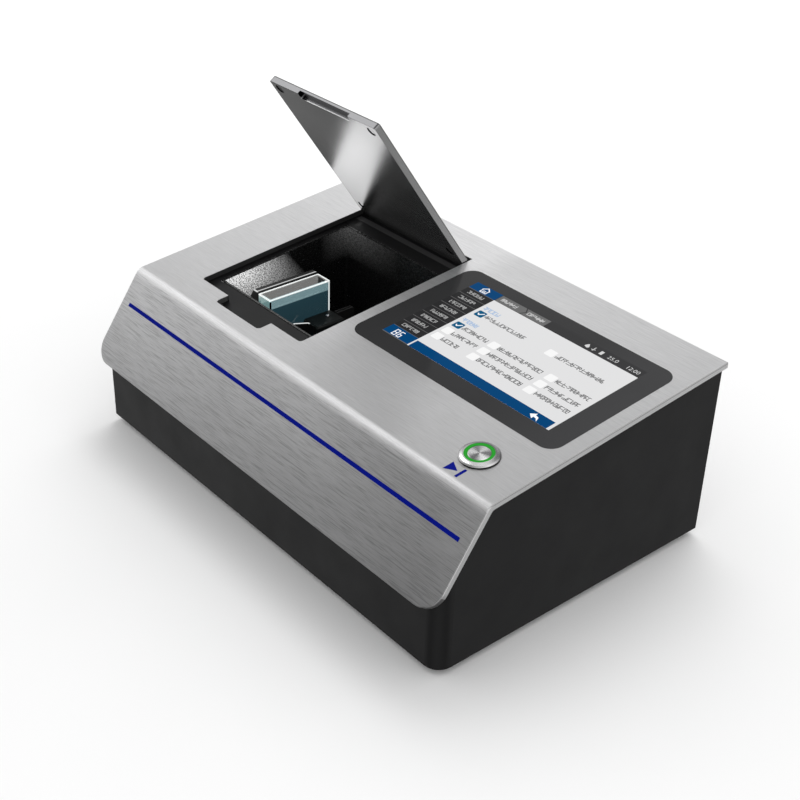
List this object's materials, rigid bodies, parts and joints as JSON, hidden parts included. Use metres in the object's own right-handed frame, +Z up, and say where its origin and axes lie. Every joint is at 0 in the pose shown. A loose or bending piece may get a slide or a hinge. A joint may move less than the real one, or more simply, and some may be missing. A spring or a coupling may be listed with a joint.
{
  "type": "benchtop colorimeter",
  "caption": "Bench instrument that measures the colour of liquids in a lidded sample chamber, with a flush touch display and a ring-lit start button.",
  "frame": {"origin": "on the bench, under the middle of the cover", "axes": "+X to the right seen from the user, +Y to the rear, +Z up"},
  "size_m": [0.367, 0.2412, 0.251],
  "materials": {
    "brushed_cover": "brushed stainless, grain along the width",
    "brushed_lid": "brushed stainless",
    "base_black": "fine matt black powder coat",
    "foot_rubber": "matt",
    "zinc_screw": "bright zinc",
    "black_screw": "black oxide",
    "frame_black": "matt black",
    "liner_black": "glossy black, faintly rippled",
    "post_metal": "turned",
    "nylon_white": "satin",
    "magnet_nickel": "nickel plate",
    "pin_steel": "ground",
    "display_glass": "flush glass, printed black on its back",
    "lcd_black": "satin",
    "bracket_steel": "zinc plated sheet",
    "button_metal": "turned stainless",
    "ring_green": "translucent green",
    "spring_steel": "bright",
    "cell_glass": "polished optical glass",
    "sample_clear": "clear liquid",
    "stand_black": "satin",
    "jaw_black": "satin, worn bright along its top edge",
    "window_glass": "polished",
    "clamp_grey": "satin",
    "clamp_dark": "satin",
    "anodised_black": "black anodised",
    "board_white": "white solder mask",
    "sphere_white": "white coated inside",
    "bench_metal": "milled",
    "board_green": "green solder mask",
    "tray_black": "fine matt black powder coat",
    "socket_metal": "nickel plate",
    "socket_black": "satin",
    "rocker_black": "gloss"
  },
  "bodies": {
    "housing": {"base_housing": "base_black", "bench_pillars": "post_metal", "board_posts": "nylon_white", "bottom_plate": "base_black", "bottom_screws": "black_screw", "button_body": "button_metal", "button_light_ring": "ring_green", "button_nut": "button_metal", "button_spring": "spring_steel", "chamber_frame": "frame_black", "chamber_liner": "liner_black", "chamber_pillars": "post_metal", "clamp_pins": "pin_steel", "clamp_post": "stand_black", "clamp_springs": "spring_steel", "collimator_lens": "window_glass", "connector_tray": "tray_black", "cover_nuts": "zinc_screw", "dc_jack": "socket_black", "display_bracket": "bracket_steel", "display_glass": "display_glass", "display_screws": "zinc_screw", "foot_front_left": "foot_rubber", "foot_front_right": "foot_rubber", "foot_rear_left": "foot_rubber", "foot_rear_right": "foot_rubber", "foot_screws": "zinc_screw", "frame_magnets": "magnet_nickel", "frame_screws": "black_screw", "hinge_pins": "pin_steel", "lamp_board": "board_white", "lamp_housing": "anodised_black", "lcd_module": "lcd_black", "lens_tube": "anodised_black", "main_board": "board_green", "optics_bench": "bench_metal", "port_plate": "jaw_black", "port_window_left": "window_glass", "port_window_right": "window_glass", "rocker_housing": "socket_black", "sample_stand": "stand_black", "spectrometer_body": "anodised_black", "spectrometer_cover": "anodised_black", "sphere_lower": "sphere_white", "sphere_port_ring": "anodised_black", "sphere_screws": "black_screw", "sphere_upper": "sphere_white", "top_cover": "brushed_cover", "tray_screws": "black_screw", "usb_socket": "socket_metal"},
    "lid": {"lid_panel": "brushed_lid", "lid_magnets": "magnet_nickel"},
    "button": {"button_cap": "button_metal"},
    "rocker": {"rocker_key": "rocker_black"},
    "cell": {"cuvette": "cell_glass", "sample_liquid": "sample_clear"},
    "clamp": {"clamp_jaw": "clamp_grey", "clamp_arm": "clamp_dark", "clamp_leaf": "spring_steel", "clamp_screw": "zinc_screw"}
  },
  "joints": [
    {"name": "lid_hinge", "type": "hinge", "parent": "housing", "child": "lid", "pos_m": [-0.08055, 0.09055, 0.12991], "axis": [-1, 0, 0], "range_deg": [-60.9, 34]},
    {"name": "button_press", "type": "slide", "parent": "housing", "child": "button", "axis": [0, 0.1031, -0.9947], "range_m": [0, 0.0018], "stiffness_N_per_m": 700, "springref_m": -0.001, "deforming": ["button_spring"]},
    {"name": "cell_lift", "type": "slide", "parent": "housing", "child": "cell", "axis": [0, 0, 1], "range_m": [0, 0.006]},
    {"name": "clamp_slide", "type": "slide", "parent": "housing", "child": "clamp", "axis": [1, 0, 0], "range_m": [0, 0.007], "stiffness_N_per_m": 300, "springref_m": -0.004, "deforming": ["clamp_springs"]},
    {"name": "power_rocker", "type": "hinge", "parent": "housing", "child": "rocker", "pos_m": [-0.035, 0.1115, 0.04], "axis": [1, 0, 0], "range_deg": [0, 16]}
  ]
}
